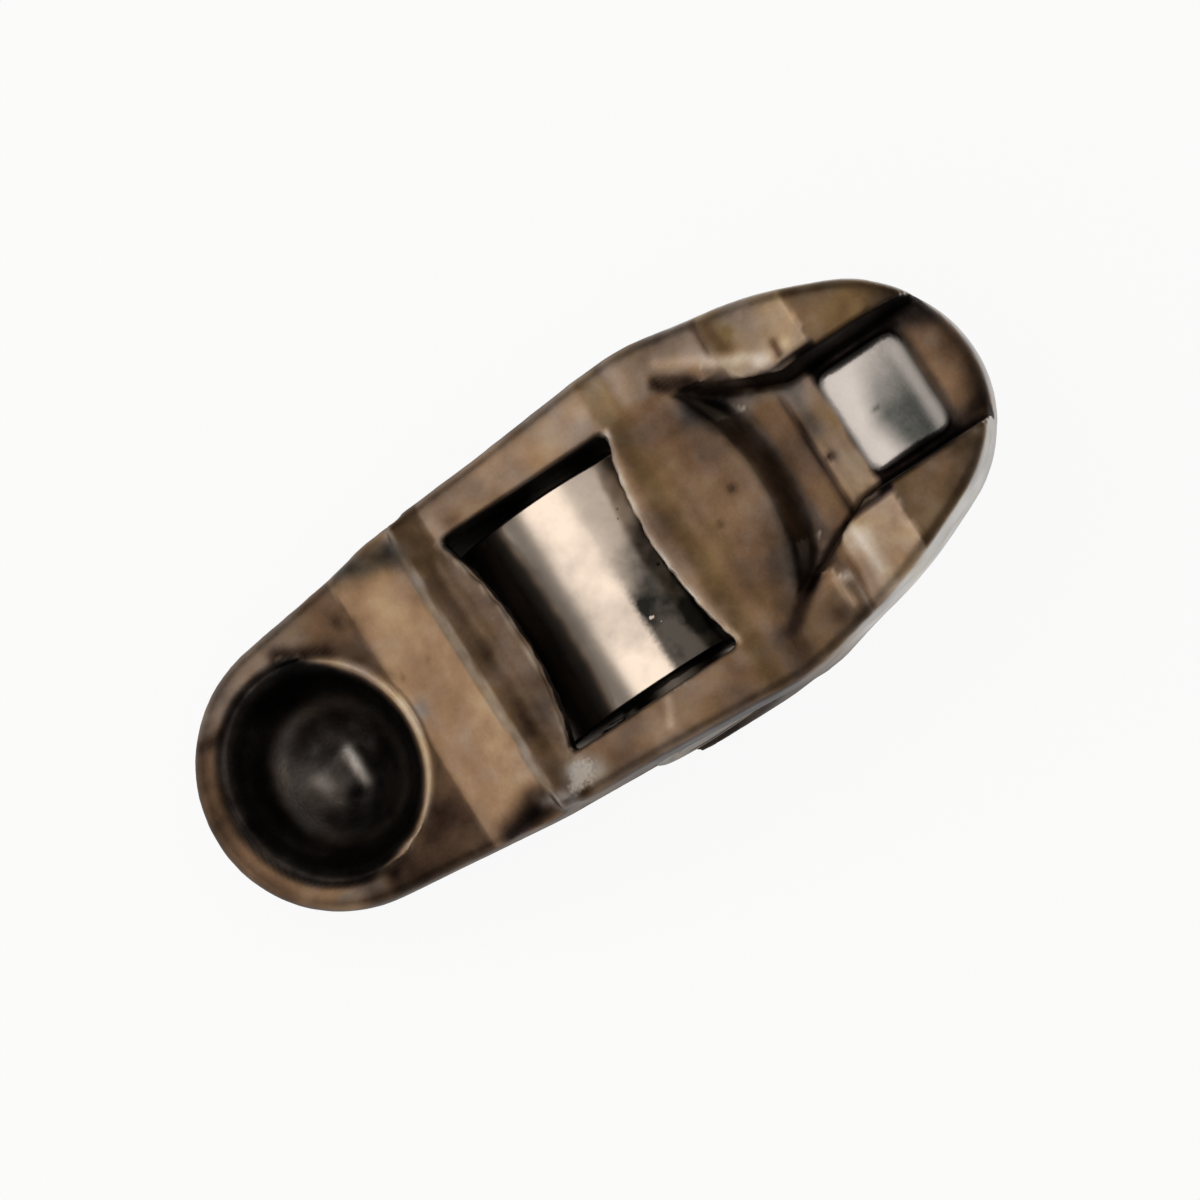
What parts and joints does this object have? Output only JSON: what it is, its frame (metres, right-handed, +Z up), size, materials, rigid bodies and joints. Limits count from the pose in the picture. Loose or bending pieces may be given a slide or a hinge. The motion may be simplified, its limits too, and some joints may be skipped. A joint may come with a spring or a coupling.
{
  "type": "roller finger follower rocker arm",
  "caption": "Stamped steel rocker arm with a ball socket at one end, a valve pad between guide walls at the other and a needle-bearing roller between.",
  "frame": {"origin": "centre of the footprint, on the surface that the follower lies on", "axes": "+X along the arm from the ball socket towards the valve pad, as seen from above; +Y across it along the axle; +Z up. The follower lies on its roller and the rim of its pivot end, underside up, so the arm's own plane is pitched up by 19.0 degrees towards the valve pad."},
  "size_m": [0.0492, 0.021, 0.0252],
  "materials": {
    "arm_steel": "satin",
    "axle_steel": "satin",
    "roller_steel": "polished",
    "needle_steel": "polished"
  },
  "bodies": {
    "lever": {"arm": "arm_steel", "axle": "axle_steel"},
    "roller_ring": {"roller": "roller_steel"},
    "needle_set": {"needle_01": "needle_steel", "needle_02": "needle_steel", "needle_03": "needle_steel", "needle_04": "needle_steel", "needle_05": "needle_steel", "needle_06": "needle_steel", "needle_07": "needle_steel", "needle_08": "needle_steel", "needle_09": "needle_steel", "needle_10": "needle_steel", "needle_11": "needle_steel", "needle_12": "needle_steel", "needle_13": "needle_steel", "needle_14": "needle_steel", "needle_15": "needle_steel", "needle_16": "needle_steel", "needle_17": "needle_steel", "needle_18": "needle_steel"}
  },
  "joints": [
    {"name": "roller_spin", "type": "hinge", "parent": "lever", "child": "roller_ring", "pos_m": [0.0026, 0, 0.008], "axis": [0, 1, 0], "continuous": true},
    {"name": "needle_orbit", "type": "hinge", "parent": "lever", "child": "needle_set", "pos_m": [0.0026, 0, 0.008], "axis": [0, 1, 0], "continuous": true}
  ],
  "couplings": [
    {"joint": "needle_orbit", "follows": "roller_spin", "ratio": 0.5865}
  ]
}
